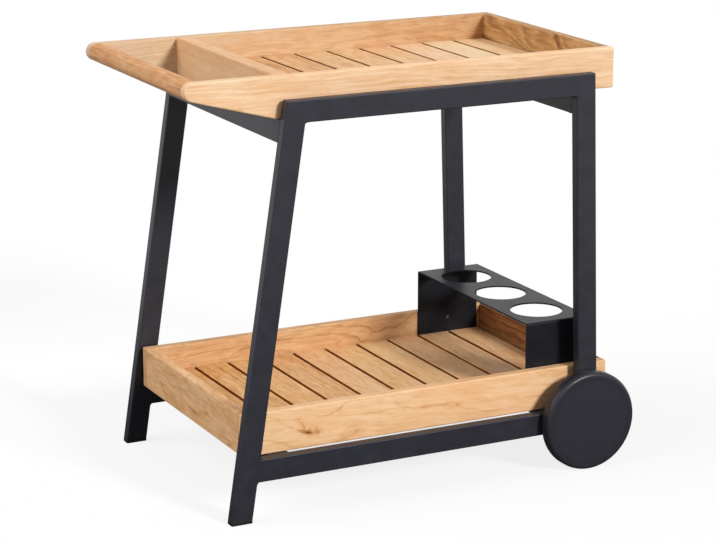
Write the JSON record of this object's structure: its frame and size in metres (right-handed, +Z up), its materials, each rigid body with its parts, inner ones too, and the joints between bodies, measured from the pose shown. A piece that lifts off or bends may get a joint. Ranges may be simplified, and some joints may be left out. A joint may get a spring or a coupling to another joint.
{
  "type": "serving trolley",
  "caption": "Outdoor serving trolley: black tube side frames, slatted teak trays, a bent-sheet bottle holder, a handle bar at one end and disc wheels at the other.",
  "frame": {"origin": "on the floor, midway along the length and midway between the two side frames", "axes": "+X runs from the handle end to the wheel end, +Y to the far side frame, +Z up"},
  "size_m": [0.884, 0.58, 0.792],
  "materials": {
    "teak": "oiled, fine sanded",
    "powder_coated_frame": "fine satin powder coat",
    "powder_coated_holder": "fine satin powder coat",
    "black_nylon": "moulded",
    "wheel_plastic": "fine moulded texture",
    "wheel_tyre": "smooth rubber",
    "stainless_fastener": "turned stainless steel"
  },
  "bodies": {
    "frame": {"axle_bolts": "stainless_fastener", "axle_nuts": "stainless_fastener", "bottle_holder": "powder_coated_holder", "divider_board": "teak", "far_bottom_rail": "powder_coated_frame", "far_front_glide": "black_nylon", "far_front_leg": "powder_coated_frame", "far_rear_leg": "powder_coated_frame", "far_top_rail": "powder_coated_frame", "handle_bar": "teak", "holder_screws": "stainless_fastener", "lower_far_batten": "teak", "lower_far_side_board": "teak", "lower_front_board": "teak", "lower_front_crossbar": "powder_coated_frame", "lower_near_batten": "teak", "lower_near_side_board": "teak", "lower_rear_board": "teak", "lower_rear_crossbar": "powder_coated_frame", "lower_slat_1": "teak", "lower_slat_10": "teak", "lower_slat_2": "teak", "lower_slat_3": "teak", "lower_slat_4": "teak", "lower_slat_5": "teak", "lower_slat_6": "teak", "lower_slat_7": "teak", "lower_slat_8": "teak", "lower_slat_9": "teak", "near_bottom_rail": "powder_coated_frame", "near_front_glide": "black_nylon", "near_front_leg": "powder_coated_frame", "near_rear_leg": "powder_coated_frame", "near_top_rail": "powder_coated_frame", "slat_screws": "stainless_fastener", "top_far_batten": "teak", "top_far_side_board": "teak", "top_near_batten": "teak", "top_near_side_board": "teak", "top_rear_board": "teak", "top_slat_1": "teak", "top_slat_2": "teak", "top_slat_3": "teak", "top_slat_4": "teak", "top_slat_5": "teak", "top_slat_6": "teak", "top_slat_7": "teak", "top_slat_8": "teak", "top_slat_9": "teak", "tray_screws": "stainless_fastener", "upper_front_crossbar": "powder_coated_frame", "upper_rear_crossbar": "powder_coated_frame"},
    "near_wheel": {"near_wheel_tyre": "wheel_tyre", "near_wheel_hub": "wheel_plastic", "near_wheel_cover": "wheel_plastic", "near_wheel_bush": "black_nylon"},
    "far_wheel": {"far_wheel_tyre": "wheel_tyre", "far_wheel_hub": "wheel_plastic", "far_wheel_cover": "wheel_plastic", "far_wheel_bush": "black_nylon"}
  },
  "joints": [
    {"name": "near_wheel_spin", "type": "hinge", "parent": "frame", "child": "near_wheel", "pos_m": [0.347, -0.278, 0.095], "axis": [0, 1, 0], "continuous": true},
    {"name": "far_wheel_spin", "type": "hinge", "parent": "frame", "child": "far_wheel", "pos_m": [0.347, 0.278, 0.095], "axis": [0, 1, 0], "continuous": true}
  ]
}
